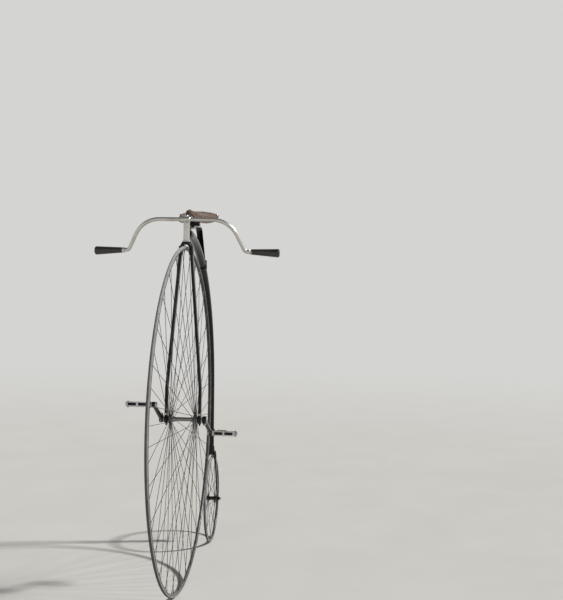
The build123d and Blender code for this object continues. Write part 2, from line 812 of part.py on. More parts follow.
# Neck: spindle that turns in the head, web through its window, socket for the tube
neck_end = wheel_point(backbone_r, tube_start)
neck_dir = Vector(cos(radians(tube_start)), 0, sin(radians(tube_start)))
socket_front = neck_end + neck_dir * neck_socket_l
socket_r = backbone_top_d / 2 + neck_socket_wall
bolt_at = neck_end + neck_dir * neck_socket_l * 0.45
bolt_up = Vector(-neck_dir.Z, 0, neck_dir.X)
pad_top = socket_r + bolt_pad_h
with BuildPart() as neck:
    with BuildSketch(Plane(origin=neck_end, z_dir=neck_dir)):
        Circle(socket_r)
    extrude(amount=neck_socket_l, taper=8)
    with BuildSketch(side_plane):
        with BuildLine():
            low = hub + steer_up * (window_low + neck_web_play)
            top = hub + steer_up * (window_top - neck_web_play)
            back = neck_end + neck_dir * neck_socket_l * 0.4
            rise = bolt_up * socket_r * 0.8
            corners = [low, top, back + rise, back - rise]
            Polyline(*[(p.X - hub.X, p.Z - hub.Z) for p in corners], close=True)
        make_face()
    extrude(amount=neck_web_t / 2, both=True)
    with BuildSketch(head_plane):
        with BuildLine():
            Polyline(
                (0, crown_top + rest_gap),
                (spindle_d / 2 - spindle_end, crown_top + rest_gap),
                (spindle_d / 2, crown_top + rest_gap + spindle_end),
                (spindle_d / 2, window_top),
                (spindle_d / 2 - spindle_end, window_top + spindle_end),
                (0, window_top + spindle_end),
                close=True,
            )
        make_face()
    revolve(axis=steer_axis)
    # Flat and hole on top of the socket for the spring's bolt
    with BuildSketch(Plane(origin=bolt_at, x_dir=neck_dir, z_dir=bolt_up)):
        Rectangle(neck_socket_l * 0.9, bolt_pad_w)
    extrude(amount=pad_top)
    with BuildSketch(Plane(origin=bolt_at + bolt_up * (pad_top - bolt_hole_l), z_dir=bolt_up)):
        Circle(bolt_d / 2 + seat)
    extrude(amount=bolt_hole_l, mode=Mode.SUBTRACT)
write(neck.part, "neck")

# Rear fork: socket on the tube's end, crown over the tyre, two blades to the axle
blade_top = rear_r + rear_crown_gap
socket_top = tube_foot + rear_tube_in
rear_arch = rear_r - rear_tyre_d / 2


def rear_section(side, height, out, depth):
    """The oval section of a rear fork blade."""
    with BuildSketch(rear_plane(height)) as section:
        with Locations((0, side * out)):
            SlotOverall(depth, rear_blade_t)
    return section.sketch


with BuildPart() as rear_crown:
    crown_across = 2 * (rear_blade_top_y + rear_crown_wall) + rear_blade_t
    with BuildSketch(rear_plane(rear_arch)):
        SlotOverall(crown_across, rear_blade_top_depth + 2 * rear_crown_wall, rotation=90)
    extrude(amount=tube_foot - rear_arch, taper=6)
    with BuildSketch(rear_plane(tube_foot)):
        Circle(backbone_foot_d / 2 + rear_socket_wall + rear_socket_flare)
    extrude(amount=rear_tube_in, taper=4)
    with BuildSketch(rear_plane(tube_foot)):
        Circle(backbone_foot_d / 2 + seat)
    with BuildSketch(rear_plane(socket_top)):
        Circle(tube_r(tube_l - rear_tube_in) + seat)
    loft(mode=Mode.SUBTRACT)
    arch_at = rear_hub + tube_line * rear_arch
    with BuildSketch(Plane(origin=arch_at, x_dir=(0, 1, 0), z_dir=(1, 0, 0))):
        Circle(rear_tyre_d / 2 + rear_arch_gap)
    extrude(amount=rear_blade_top_depth, both=True, mode=Mode.SUBTRACT)
write(rear_crown.part, "rear_fork_crown")

eye_in = rear_blade_foot_y - rear_blade_t / 2
eye_out = rear_blade_foot_y + rear_blade_t / 2
for name, side, _ in sides:
    eye_plane = Plane(origin=rear_hub + Vector(0, side * eye_in, 0), z_dir=(0, side, 0))
    with BuildPart() as rear_blade:
        top = rear_section(side, rear_arch, rear_blade_top_y, rear_blade_top_depth)
        foot = rear_section(side, rear_end_d * 0.3, rear_blade_foot_y, rear_blade_foot_depth)
        loft([foot, top])
        with BuildSketch(eye_plane):
            Circle(rear_end_d / 2)
        extrude(amount=rear_blade_t)
        with BuildSketch(eye_plane):
            Circle(rear_axle_d / 2 + seat)
        extrude(amount=rear_blade_t, mode=Mode.SUBTRACT)
    write(rear_blade.part, f"rear_fork_blade_{name}")

# Rear axle with its cones, and a washer and nut at each end
cone_y = rear_flange_y + rear_flange_w / 2 + rear_boss_w + rest_gap
nut_out = eye_out + rear_washer_t + rear_nut_h
axle_reach = nut_out + rear_stub_l
half = [
    (cone_y, rear_axle_d / 2),
    (cone_y, rear_cone_d / 2),
    (eye_in, rear_cone_d / 2),
    (eye_in, rear_axle_d / 2),
    (nut_out, rear_axle_d / 2),
    (nut_out, rear_stub_d / 2),
    (axle_reach, rear_stub_d / 2),
    (axle_reach, 0),
]
with BuildPart() as rear_axle:
    with BuildSketch(across(rear_hub)):
        with BuildLine():
            Polyline(*half, *[(-x, y) for x, y in reversed(half)], close=True)
        make_face()
    revolve(axis=rear_axle_axis)
write(rear_axle.part, "rear_axle")

with BuildPart() as rear_nuts:
    for side in (1, -1):
        washer_face = rear_hub + Vector(0, side * eye_out, 0)
        nut_face = washer_face + Vector(0, side * rear_washer_t, 0)
        with BuildSketch(Plane(origin=washer_face, z_dir=(0, side, 0))):
            Circle(rear_washer_d / 2)
        extrude(amount=rear_washer_t)
        with BuildSketch(Plane(origin=nut_face, z_dir=(0, side, 0))):
            hexagon(rear_nut_af)
        extrude(amount=rear_nut_h)
        with BuildSketch(Plane(origin=washer_face, z_dir=(0, side, 0))):
            Circle(rear_axle_d / 2 + seat)
        extrude(amount=rear_washer_t + rear_nut_h, mode=Mode.SUBTRACT)
write(rear_nuts.part, "rear_axle_nuts")

# Mounting step: a band round the tube with a peg and a foot plate to the left
step_r = tube_r(arc_l + straight_l - step_up)
with BuildPart() as step:
    with BuildSketch(rear_plane(step_up - step_band_w / 2)):
        Circle(step_r + rest_gap + step_band_t)
    extrude(amount=step_band_w)
    peg_root = rear_hub + tube_line * step_up + Vector(0, step_r, 0)
    with BuildSketch(Plane(origin=peg_root, z_dir=(0, 1, 0))):
        Circle(step_peg_d / 2)
    extrude(amount=step_peg_l)
    plate_low = (step_peg_d - step_plate_t) / 2
    plate = peg_root + Vector(0, step_peg_l - step_plate_l / 2, plate_low)
    with BuildSketch(Plane(origin=plate, x_dir=(1, 0, 0), z_dir=(0, 0, 1))):
        RectangleRounded(step_plate_w, step_plate_l, step_plate_w * 0.2)
    extrude(amount=step_plate_t)
    with BuildSketch(rear_plane(step_up - step_band_w / 2)):
        Circle(step_r + rest_gap)
    extrude(amount=step_band_w, mode=Mode.SUBTRACT)
write(step.part, "mounting_step")

# Saddle leather: arched sections from nose to cantle
# Each row: x, half width at the shoulder, height of the ridge,
# shoulder below the ridge, half width at the flap's edge, that edge below the ridge
saddle_sections = [
    (138.0, 13.0, 6.0, 9.0, 13.0, 20.0),
    (88.0, 20.0, 7.0, 12.0, 21.0, 36.0),
    (18.0, 40.0, 0.4, 15.0, 44.0, 42.0),
    (-48.0, 72.0, 1.5, 14.0, 77.0, 34.0),
    (-104.0, 82.0, 12.0, 13.0, 84.0, 22.0),
]
saddle_tip = (147.0, 7.5, 1.0, 6.0, 7.5, 12.0)  # solid end of the nose


def saddle_face(x, half_w, ridge, shoulder, flap_w, flap_h, inset, wall):
    """An arched strip of a saddle's section, inset below the leather's upper side."""
    with BuildSketch(Plane(origin=(x, 0, 0), x_dir=(0, 1, 0), z_dir=(1, 0, 0))) as section:
        with BuildLine():
            rims = []
            for depth in (inset, inset + wall):
                w, f = half_w - depth, flap_w - depth
                z = ridge - depth
                s = ridge - shoulder - depth * 0.35
                low = ridge - flap_h
                ThreePointArc((-w, s), (0, z), (w, s))
                Line((-w, s), (-f, low))
                Line((w, s), (f, low))
                rims.append(f)
            low = ridge - flap_h
            Line((-rims[0], low), (-rims[1], low))
            Line((rims[0], low), (rims[1], low))
        make_face()
    return section.sketch


def saddle_end(x, half_w, ridge, shoulder, flap_w, flap_h):
    """The whole area under an arched strip's upper side."""
    s, low = ridge - shoulder, ridge - flap_h
    with BuildSketch(Plane(origin=(x, 0, 0), x_dir=(0, 1, 0), z_dir=(1, 0, 0))) as section:
        with BuildLine():
            ThreePointArc((-half_w, s), (0, ridge), (half_w, s))
            Polyline((half_w, s), (flap_w, low), (-flap_w, low), (-half_w, s))
        make_face()
    return section.sketch


with BuildPart() as saddle:
    loft([saddle_face(*row, 0, leather_t) for row in saddle_sections])
    loft([saddle_end(*saddle_sections[0]), saddle_end(*saddle_tip)])
write(saddle.part, "saddle_leather")


def saddle_row(x):
    """The saddle's section at x, between the rows of the table."""
    rows = sorted(saddle_sections)
    for a, b in zip(rows, rows[1:]):
        if a[0] <= x <= b[0]:
            share = (x - a[0]) / (b[0] - a[0])
            return [p + (q - p) * share for p, q in zip(a, b)]
    raise ValueError(f"no saddle at {x}")


# Saddle frame: cantle strip and nose block under the leather, joined by two rails
cantle_x = saddle_sections[-1][0]
nose_x = saddle_sections[0][0]
rail_low = spring_top + clamp_h / 2
under = leather_t + leather_gap
cantle_mid = cantle_x + cantle_l / 2
rail_front_x = nose_x - nose_l * 0.7
nose_ridge = saddle_row(rail_front_x)[2]
cantle_ridge = saddle_row(cantle_mid)[2]
# x, distance from the middle line, height
rail_points = [
    (rail_front_x, rail_nose_y, nose_ridge - under - rail_d),
    (clamp_x, rail_clamp_y, rail_low),
    (cantle_mid, rail_cantle_y, cantle_ridge - under - cantle_t - rail_drop),
]


def rail(side, grow):
    """A rail's section and the path that it follows."""
    with BuildLine() as line:
        FilletPolyline(*[(x, side * y, z) for x, y, z in rail_points], radius=rail_bend_r)
    with BuildSketch(Plane(origin=line.line @ 0, z_dir=line.line % 0)) as section:
        Circle(rail_d / 2 + grow)
    return section.sketch, line.line


with BuildPart() as saddle_frame:
    cantle_ends = (cantle_x + cantle_in, cantle_x + cantle_l)
    loft([saddle_face(*saddle_row(x), under, cantle_t) for x in cantle_ends])
    for side in (1, -1):
        section, path = rail(side, 0)
        sweep(section, path=path)
    block_top = nose_ridge - under - nose_drop
    block_low = rail_points[0][2] - rail_d / 2
    block = Vector(nose_x - nose_l, 0, (block_top + block_low) / 2)
    with BuildSketch(Plane(origin=block, x_dir=(0, 1, 0), z_dir=(1, 0, 0))):
        Rectangle(2 * rail_nose_y + rail_d * 0.6, block_top - block_low)
    extrude(amount=nose_l - nose_in)
write(saddle_frame.part, "saddle_frame")

# Clamp: a block on the spring, gripping both rails
with BuildPart() as clamp:
    with BuildSketch(Plane(origin=(clamp_x, 0, spring_top), z_dir=(0, 0, 1))):
        RectangleRounded(clamp_l, clamp_w, 5.0)
    extrude(amount=clamp_h)
    for side in (1, -1):
        section, path = rail(side, seat)
        sweep(section, path=path, mode=Mode.SUBTRACT)
    with BuildSketch(Plane(origin=(clamp_x, 0, spring_top), z_dir=(0, 0, 1))):
        Circle(bolt_d / 2 + seat)
    extrude(amount=clamp_h, mode=Mode.SUBTRACT)
write(clamp.part, "saddle_clamp")

# Spring: a flat leaf from the neck, under the saddle and down to the backbone
tail_along = backbone_r * radians(spring_tail_angle - tube_start)
tail_r = backbone_r + tube_r(tail_along) + rest_gap + spring_t / 2
tail_in = wheel_point(tail_r, spring_tail_angle)
tail_dir = Vector(-cos(radians(spring_tail_angle)), 0, -sin(radians(spring_tail_angle)))
spring_mid = spring_top - spring_t / 2
foot = bolt_at + bolt_up * (pad_top + spring_t / 2)
spring_points = [
    foot + neck_dir * spring_foot_l * 0.5,
    foot - neck_dir * spring_foot_l * 0.7,
    Vector(spring_front_x, 0, spring_mid),
    Vector(spring_rear_x, 0, spring_mid),
    tail_in - tail_dir * spring_tail_l * 0.45,
    tail_in + tail_dir * spring_tail_l * 0.55,
]
with BuildPart() as spring:
    with BuildLine() as leaf:
        bends = [spring_bend_r, spring_bend_r, spring_bend_r * 1.6, spring_bend_r]
        FilletPolyline(*spring_points, radius=bends)
    with BuildSketch(Plane(origin=leaf.line @ 0, x_dir=(0, 1, 0), z_dir=leaf.line % 0)):
        Rectangle(spring_w, spring_t)
    sweep(path=leaf.line)
    with BuildSketch(Plane(origin=(clamp_x, 0, spring_top - spring_t), z_dir=(0, 0, 1))):
        Circle(bolt_d / 2 + seat)
    extrude(amount=spring_t, mode=Mode.SUBTRACT)
    with BuildSketch(Plane(origin=bolt_at + bolt_up * pad_top, z_dir=bolt_up)):
        Circle(bolt_d / 2 + seat)
    extrude(amount=spring_t, mode=Mode.SUBTRACT)
write(spring.part, "saddle_spring")

# Bolts: head, shank and, under the saddle, a nut
with BuildPart() as spring_bolt:
    head_face = bolt_at + bolt_up * (pad_top + spring_t)
    with BuildSketch(Plane(origin=head_face, z_dir=bolt_up)):
        hexagon(bolt_head_af)
    extrude(amount=bolt_head_h)
    with BuildSketch(Plane(origin=head_face - bolt_up * (spring_t + bolt_hold), z_dir=bolt_up)):
        Circle(bolt_d / 2)
    extrude(amount=spring_t + bolt_hold)
write(spring_bolt.part, "spring_bolt")

with BuildPart() as saddle_bolt:
    for z in (spring_top + clamp_h, spring_top - spring_t - bolt_head_h):
        with BuildSketch(Plane(origin=(clamp_x, 0, z), z_dir=(0, 0, 1))):
            hexagon(bolt_head_af)
        extrude(amount=bolt_head_h)
    shank_low = spring_top - spring_t - bolt_head_h - bolt_end
    with BuildSketch(Plane(origin=(clamp_x, 0, shank_low), z_dir=(0, 0, 1))):
        Circle(bolt_d / 2)
    extrude(amount=spring_top + clamp_h - shank_low)
write(saddle_bolt.part, "saddle_bolt")

# Clip that holds the spring's tail on the backbone
clip_r = tube_r(tail_along) + rest_gap
clip_origin = wheel_point(backbone_r, spring_tail_angle)
clip_up = wheel_point(1.0, spring_tail_angle) - hub
clip_plane = Plane(origin=clip_origin, x_dir=(0, 1, 0), z_dir=tail_dir)
up_sign = 1 if clip_plane.y_dir.dot(clip_up) > 0 else -1
with BuildPart() as clip:
    with BuildSketch(clip_plane):
        Circle(clip_r + clip_t)
        with Locations((0, up_sign * (clip_r + (spring_t + clip_t) / 2))):
            Rectangle(spring_w + 2 * clip_t, spring_t + clip_t + clip_cheek)
        Circle(clip_r, mode=Mode.SUBTRACT)
        with Locations((0, up_sign * (clip_r + spring_t / 2))):
            Rectangle(spring_w + 2 * seat, spring_t + 2 * seat, mode=Mode.SUBTRACT)
    extrude(amount=clip_w / 2, both=True)
write(clip.part, "spring_clip")
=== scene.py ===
import json
from math import acos, asin, cos, dist, pi, radians, sin, sqrt

import bmesh
import bpy
from mathutils import Matrix, Vector


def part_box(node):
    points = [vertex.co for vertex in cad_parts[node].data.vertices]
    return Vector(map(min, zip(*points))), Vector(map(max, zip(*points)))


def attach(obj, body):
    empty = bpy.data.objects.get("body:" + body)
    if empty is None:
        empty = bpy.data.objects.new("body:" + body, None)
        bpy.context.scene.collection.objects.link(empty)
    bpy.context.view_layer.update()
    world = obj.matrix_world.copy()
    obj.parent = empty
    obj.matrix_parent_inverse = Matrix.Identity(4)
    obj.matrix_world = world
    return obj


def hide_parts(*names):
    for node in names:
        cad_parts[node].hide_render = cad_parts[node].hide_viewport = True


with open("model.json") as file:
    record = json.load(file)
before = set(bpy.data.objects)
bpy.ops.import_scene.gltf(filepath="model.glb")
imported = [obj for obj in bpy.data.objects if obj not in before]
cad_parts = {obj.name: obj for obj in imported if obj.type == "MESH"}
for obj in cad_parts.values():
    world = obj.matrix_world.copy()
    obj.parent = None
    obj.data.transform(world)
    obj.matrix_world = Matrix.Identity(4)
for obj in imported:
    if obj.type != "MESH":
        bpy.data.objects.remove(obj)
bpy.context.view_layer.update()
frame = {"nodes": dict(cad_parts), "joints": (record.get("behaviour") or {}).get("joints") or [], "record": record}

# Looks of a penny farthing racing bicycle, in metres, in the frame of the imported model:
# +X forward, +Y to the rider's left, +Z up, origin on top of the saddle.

# Places from the joints of the model
joints = {joint["name"]: joint for joint in frame["joints"]}
hub = Vector(joints["front_wheel_spin"]["pos_m"])
rear_hub = Vector(joints["rear_wheel_spin"]["pos_m"])
steer_up = Vector(joints["steering"]["axis"])
steer_ahead = Vector((steer_up.z, 0, -steer_up.x))
left = Vector((0, 1, 0))

# Camera, as the photograph was taken
camera_at = Vector((4.4428, 0.7655, -0.1985))
camera_azimuth = 95.15  # degrees
camera_elevation = 1.98  # degrees
camera_roll = 0.95  # degrees
camera_lens = 65.04  # mm
film_width = 36.0  # mm

# Wheels
front_r = 0.686
rear_r = 0.203
front_tyre_r = 0.006
rear_tyre_r = 0.005
front_rim_inner = 0.669
rear_rim_inner = 0.188
front_hub_reach = 0.017  # out to here the hub has its own colour
rear_hub_reach = 0.015
spoke_gap = 0.0003  # between a spoke and the rim
thread_start = 0.0008  # where a spoke's thick end begins, from its foot in the flange
# flange_y: a flange's middle; row: from there to its holes; start_r: radius of the holes;
# tangent: how far off the axle a spoke's line passes; offset: of its end, from the rim's middle
front_lacing = dict(count=60, flange_y=0.0495, row=0.004, start_r=0.015, tangent=0.013, offset=0.003)
rear_lacing = dict(count=20, flange_y=0.016, row=0.0015, start_r=0.013, tangent=0.009, offset=0.0022)

# Heads of the fasteners: a shank that tapers from foot to shoulder, and a crown above it
nipple = dict(Sides=8, Foot=0.0024, Shoulder=0.0015, Height=0.010, Crown=0.001125, Crown_height=0.001)
thread = dict(Sides=8, Foot=0.00184, Shoulder=0.0016, Height=0.008, Crown=0.0011, Crown_height=0.002)
cotter_nut = dict(Sides=6, Foot=0.0068, Shoulder=0.0068, Height=0.0055, Crown=0.00544, Crown_height=0.0008)
pedal_rivet = dict(Sides=16, Foot=0.0034, Shoulder=0.0028, Height=0.0013, Crown=0.0012, Crown_height=0.0008)
bearing_bolt = dict(Sides=6, Foot=0.0048, Shoulder=0.0048, Height=0.0030, Crown=0.0038, Crown_height=0.0007)

# Cranks and pedals
crank_angle = 31.0  # degrees, of the right crank above level
crank_boss_r = 0.014
crank_boss_y = 0.078  # inner face
crank_boss_w = 0.016
cotter_off = 0.0089  # the cotter's line from the axle's centre
washer_t = 0.0016
washer_outline = [(0, 0), (0, 0.0070), (0.0012, 0.0070), (washer_t, 0.0062), (washer_t, 0)]
washer_sink = 0.0006  # into the crank's round boss
pedal_l = 0.090
pedal_pitch = 8.0  # degrees that its front edge is raised
pedal_half = 0.038  # from the pin to a tread plate's outer face
rivet_in = 0.006  # from a tread plate's end
rivet_sink = 0.0003  # into the plate

# Bearings and head
bearing_y = 0.067
lug_half = 0.0135
lug_bolt_up = 0.021  # above the axle, along the fork
bolt_sink = 0.0002  # into the lug

# Mounting step
step_plate_w = 0.022
step_rib_l = 0.0176
step_rib_r = 0.0010
step_rib_end = 0.0006  # length of a rib's pointed end
step_rib_first = 0.004  # from the plate's outer edge
step_rib_pitch = 0.0055
step_ribs = 7

# Saddle leather
# Each row: x, half width at the shoulder, height of the ridge,
# shoulder below the ridge, half width at the flap's edge, that edge below the ridge
saddle_rows = [
    (0.147, 0.0040, -0.0010, 0.0035, 0.0040, 0.0100),
    (0.1445, 0.0090, 0.0030, 0.0065, 0.0088, 0.0155),
    (0.138, 0.0130, 0.0060, 0.0090, 0.0130, 0.0200),
    (0.088, 0.0200, 0.0070, 0.0120, 0.0210, 0.0360),
    (0.018, 0.0400, 0.0004, 0.0150, 0.0440, 0.0420),
    (-0.048, 0.0720, 0.0015, 0.0140, 0.0770, 0.0340),
    (-0.104, 0.0820, 0.0120, 0.0130, 0.0840, 0.0220),
]
leather_t = 0.0045
leather_round = 0.0014  # radius of its edges
hide_rows = 64  # from nose to cantle
crown_steps = 26  # from the ridge to the shoulder
flap_steps = 14  # from the shoulder to the flap's edge
smooth_rounds = 6  # which soften the shoulder
edge_band = 0.16  # share of a section that counts as the dark edge
cantle_band = 5  # rows that count as the dark edge
cantle_rivets = (-0.66, -0.40, -0.14, 0.14, 0.40, 0.66)  # shares of the way from ridge to edge
cantle_rivet_in = 0.009  # from the cantle's edge
nose_rivets = ((0.128, 0.0), (0.121, 0.42), (0.121, -0.42))  # x and share
saddle_rivet_sink = 0.0004  # into the leather
saddle_rivet_outline = [
    (0, 0), (0, 0.0046), (0.0009, 0.0045), (0.0018, 0.0037), (0.0024, 0.0022), (0.0026, 0),
]
stitch_in = 0.0055  # from the leather's edge
stitch_pitch = 0.0042
stitch_l = 0.0030
stitch_t = 0.0010
stitch_front = 0.132
stitch_back = -0.098
stitch_rows = 90

# Colours of the finishes, dark and light or old and new
dust_colour = (0.36, 0.31, 0.24, 1.0)
enamel_deep = (0.005, 0.005, 0.006, 1.0)
enamel_dull = (0.013, 0.013, 0.014, 1.0)
enamel_scratch = (0.05, 0.05, 0.05, 1.0)
enamel_chip = (0.15, 0.12, 0.10, 1.0)
nickel_clear = (0.64, 0.625, 0.595, 1.0)
nickel_cloud = (0.50, 0.475, 0.425, 1.0)
nickel_speck = (0.16, 0.12, 0.085, 1.0)
steel_clear = (0.54, 0.54, 0.54, 1.0)
steel_stain = (0.36, 0.30, 0.24, 1.0)
wire_dark = (0.058, 0.056, 0.054, 1.0)
wire_rust = (0.13, 0.10, 0.08, 1.0)
front_hub_grey = (0.24, 0.24, 0.24, 1.0)
rear_hub_grey = (0.03, 0.03, 0.03, 1.0)
rim_dark = (0.055, 0.055, 0.056, 1.0)
rim_rubbed = (0.22, 0.21, 0.20, 1.0)
rubber_dark = (0.280, 0.273, 0.261, 1.0)
rubber_light = (0.420, 0.408, 0.389, 1.0)
rubber_tread = (0.20, 0.188, 0.17, 1.0)
rubber_edge = (0.075, 0.07, 0.065, 1.0)
rubber_crack = (0.10, 0.095, 0.09, 1.0)
horn_black = (0.012, 0.010, 0.009, 1.0)
horn_streak = (0.062, 0.036, 0.022, 1.0)
horn_worn = (0.09, 0.075, 0.06, 1.0)
hide_dark = (0.060, 0.028, 0.015, 1.0)
hide_light = (0.120, 0.060, 0.030, 1.0)
# lighter leather for faces that look up: rubbed, and partly a painted highlight
hide_rubbed_highlight = (0.19, 0.10, 0.052, 1.0)
hide_crease = (0.040, 0.018, 0.010, 1.0)
hide_edge = (0.035, 0.017, 0.010, 1.0)
copper_bright = (0.62, 0.30, 0.18, 1.0)
copper_brown = (0.24, 0.12, 0.075, 1.0)
linen_dark = (0.30, 0.22, 0.13, 1.0)
linen_light = (0.52, 0.42, 0.28, 1.0)

# Studio
black = (0.0, 0.0, 0.0, 1.0)
backdrop = (0.66, 0.66, 0.645, 1.0)
ceiling = (0.16, 0.16, 0.165, 1.0)  # what metal mirrors from high above
ceiling_rise = (0.28, 0.70)  # upward share of a direction where backdrop turns into ceiling
sky_rise = (-0.2, 0.9)  # the same for the spread light, from its lowest level to its highest
sky_low = 0.035
sky_more = 0.24
floor_low = (0.56, 0.545, 0.51, 1.0)
floor_high = (0.62, 0.605, 0.57, 1.0)
floor_glow = (0.16, 0.16, 0.16, 1.0)  # the tone with which it throws light back on the machine
floor_fade = (2.2, 10.0)  # distances between which it turns into the backdrop
floor_reach = 80.0
key_way = (-0.15, 1.00, 0.90)  # towards the key light: the rider's left, above, a little behind
key_strength = 3.75
key_angle = 4.5  # degrees across, which softens the edge of the shadow


# Node graphs


class Value:
    """A socket in a node graph; arithmetic on it adds Math nodes."""

    def __init__(self, graph, socket):
        self.graph, self.socket = graph, socket

    def math(self, operation, *values):
        return self.graph.add("ShaderNodeMath", dict(operation=operation), dict(enumerate(values)))

    def __add__(self, other):
        return self.math("ADD", self, other)

    def __radd__(self, other):
        return self.math("ADD", other, self)

    def __sub__(self, other):
        return self.math("SUBTRACT", self, other)

    def __rsub__(self, other):
        return self.math("SUBTRACT", other, self)

    def __mul__(self, other):
        return self.math("MULTIPLY", self, other)

    def axis(self, name):
        """One component of a vector."""
        return self.graph.add("ShaderNodeSeparateXYZ", {}, {0: self}, name)


class Graph:
    """Adds nodes to a tree, and links or sets what they read."""

    def __init__(self, tree):
        self.tree = tree

    def feed(self, socket, value):
        if isinstance(value, Value):
            self.tree.links.new(value.socket, socket)
        else:
            socket.default_value = value

    def add(self, kind, settings, inputs, output=0):
        node = self.tree.nodes.new(kind)
        for key, value in settings.items():
            setattr(node, key, value)
        for key, value in inputs.items():
            self.feed(node.inputs[key], value)
        return Value(self, node.outputs[output])

    def step(self, value, low, high):
        """0 below low, 1 above high and smooth between."""
        inputs = {"Value": value, "From Min": low, "From Max": high}
        return self.add("ShaderNodeMapRange", dict(interpolation_type="SMOOTHSTEP"), inputs)

    # A Mix node's sockets for colours: the share, both colours and the result
    mix_share, mix_first, mix_second, mix_result = 0, 6, 7, 2

    def blend(self, share, first, second):
        """Two colours mixed."""
        inputs = {self.mix_share: share, self.mix_first: first, self.mix_second: second}
        return self.add("ShaderNodeMix", dict(data_type="RGBA"), inputs, self.mix_result)


class Finish(Graph):
    """A material whose patterns read object coordinates, in metres."""

    def __init__(self, name, **constants):
        self.material = bpy.data.materials.new(name)
        self.material.use_nodes = True
        super().__init__(self.material.node_tree)
        self.shader = self.tree.nodes["Principled BSDF"]
        self.paint(**constants)
        self.place = self.add("ShaderNodeTexCoord", {}, {}, "Object")
        self.facing = self.add("ShaderNodeNewGeometry", {}, {}, "Normal")

    def stretched(self, x, y, z):
        """The place, with its axes scaled apart so that a pattern runs along one."""
        return self.add("ShaderNodeVectorMath", dict(operation="MULTIPLY"), {0: self.place, 1: (x, y, z)})

    def noise(self, scale, detail=3.0, rough=0.5, place=None):
        inputs = {"Vector": place or self.place, "Scale": scale, "Detail": detail, "Roughness": rough}
        return self.add("ShaderNodeTexNoise", {}, inputs)

    def cells(self, scale, feature="F1"):
        inputs = {"Vector": self.place, "Scale": scale}
        return self.add("ShaderNodeTexVoronoi", dict(feature=feature), inputs, "Distance")

    def off_axle(self, centre):
        """Distance from the line of an axle."""
        inputs = {0: self.place, 1: tuple(centre)}
        spread = self.add("ShaderNodeVectorMath", dict(operation="SUBTRACT"), inputs)
        flat = self.add("ShaderNodeVectorMath", dict(operation="MULTIPLY"), {0: spread, 1: (1, 0, 1)})
        return self.add("ShaderNodeVectorMath", dict(operation="LENGTH"), {0: flat}, "Value")

    def relief(self, height, depth):
        """Bumps of a height from 0 to 1 and a depth in metres."""
        self.paint(Normal=self.add("ShaderNodeBump", {}, {"Height": height, "Distance": depth}))

    def paint(self, **values):
        for key, value in values.items():
            self.feed(self.shader.inputs[key.replace("_", " ")], value)


# Finishes

ground_z = hub.z - front_r


def road_dust(finish, reach, most):
    """How much dust lies at a place: most near the road and on faces that look up."""
    low = 1 - finish.step(finish.place.axis("Z"), ground_z, ground_z + reach)
    lying = finish.step(finish.facing.axis("Z"), 0.2, 1.0) * 0.5 + 0.5
    patches = finish.step(finish.noise(35, 5, 0.65), 0.35, 0.75)
    return low * lying * patches * most


def black_enamel():
    """Stoved black enamel, chipped to the steel in places, with dust low down."""
    f = Finish("black enamel", Coat_Roughness=0.12, Specular_IOR_Level=0.15)
    chips = f.step(f.noise(420, 4, 0.6), 0.69, 0.72) * f.step(f.noise(16, 2), 0.60, 0.70)
    hairlines = f.step(f.noise(1.0, 6, 0.75, f.stretched(900, 900, 60)), 0.70, 0.76) * 0.5
    dust = road_dust(f, reach=0.5, most=0.4)
    tone = f.blend(f.noise(9, 3), enamel_deep, enamel_dull)
    tone = f.blend(hairlines, tone, enamel_scratch)
    tone = f.blend(chips, tone, enamel_chip)
    f.paint(Base_Color=f.blend(dust, tone, dust_colour), Metallic=chips * 0.8)
    f.paint(Roughness=f.noise(40, 4) * 0.10 + 0.10 + dust * 0.6 + chips * 0.25)
    f.paint(Coat_Weight=(1 - dust) * (1 - chips) * 0.25)
    f.relief(f.noise(55, 2) * 0.5 - chips, 0.00005)
    return f.material


def nickel():
    """Nickel plate: polished, clouded in patches and finely scratched by cleaning."""
    f = Finish("nickel plate")
    cloud = f.step(f.noise(22, 5, 0.6), 0.45, 0.75)
    specks = f.step(f.cells(260), 0.10, 0.02) * f.step(f.noise(30, 2), 0.60, 0.70)
    rubbed = f.noise(1.0, 5, 0.7, f.stretched(900, 60, 900))
    tone = f.blend(cloud, nickel_clear, nickel_cloud)
    f.paint(Base_Color=f.blend(specks, tone, nickel_speck), Metallic=1 - specks * 0.6)
    f.paint(Roughness=cloud * 0.10 + rubbed * 0.05 + 0.27 + specks * 0.2)
    f.relief(cloud, 0.00002)
    return f.material


def bright_steel():
    """Machined steel: fine tool marks, a little brown where oil has dried."""
    f = Finish("bright steel")
    marks = f.noise(1.0, 4, 0.6, f.stretched(1800, 120, 1800))
    stain = f.step(f.noise(48, 5, 0.65), 0.48, 0.72)
    dust = road_dust(f, reach=0.6, most=0.3)
    tone = f.blend(stain, steel_clear, steel_stain)
    f.paint(Base_Color=f.blend(dust, tone, dust_colour), Metallic=1 - dust)
    f.paint(Roughness=marks * 0.16 + stain * 0.22 + 0.20 + dust * 0.3)
    f.relief(marks, 0.00003)
    return f.material


def wheel_steel(name, centre, hub_reach, hub_colour):
    """Drawn wire, dull and dusty, with the hub in a colour of its own."""
    f = Finish(name)
    out = f.off_axle(centre)
    wire = f.step(out, hub_reach, hub_reach + 0.004)
    stain = f.step(f.noise(70, 5, 0.65), 0.42, 0.70)
    tone = f.blend(wire, hub_colour, wire_dark)
    f.paint(Base_Color=f.blend(stain * (wire * 0.5 + 0.25), tone, wire_rust))
    f.paint(Metallic=1 - stain * wire * 0.4)
    f.paint(Roughness=f.noise(300, 3) * 0.15 + wire * 0.16 + stain * 0.15 + 0.16)
    f.relief(f.noise(500, 3), 0.00003)
    return f.material


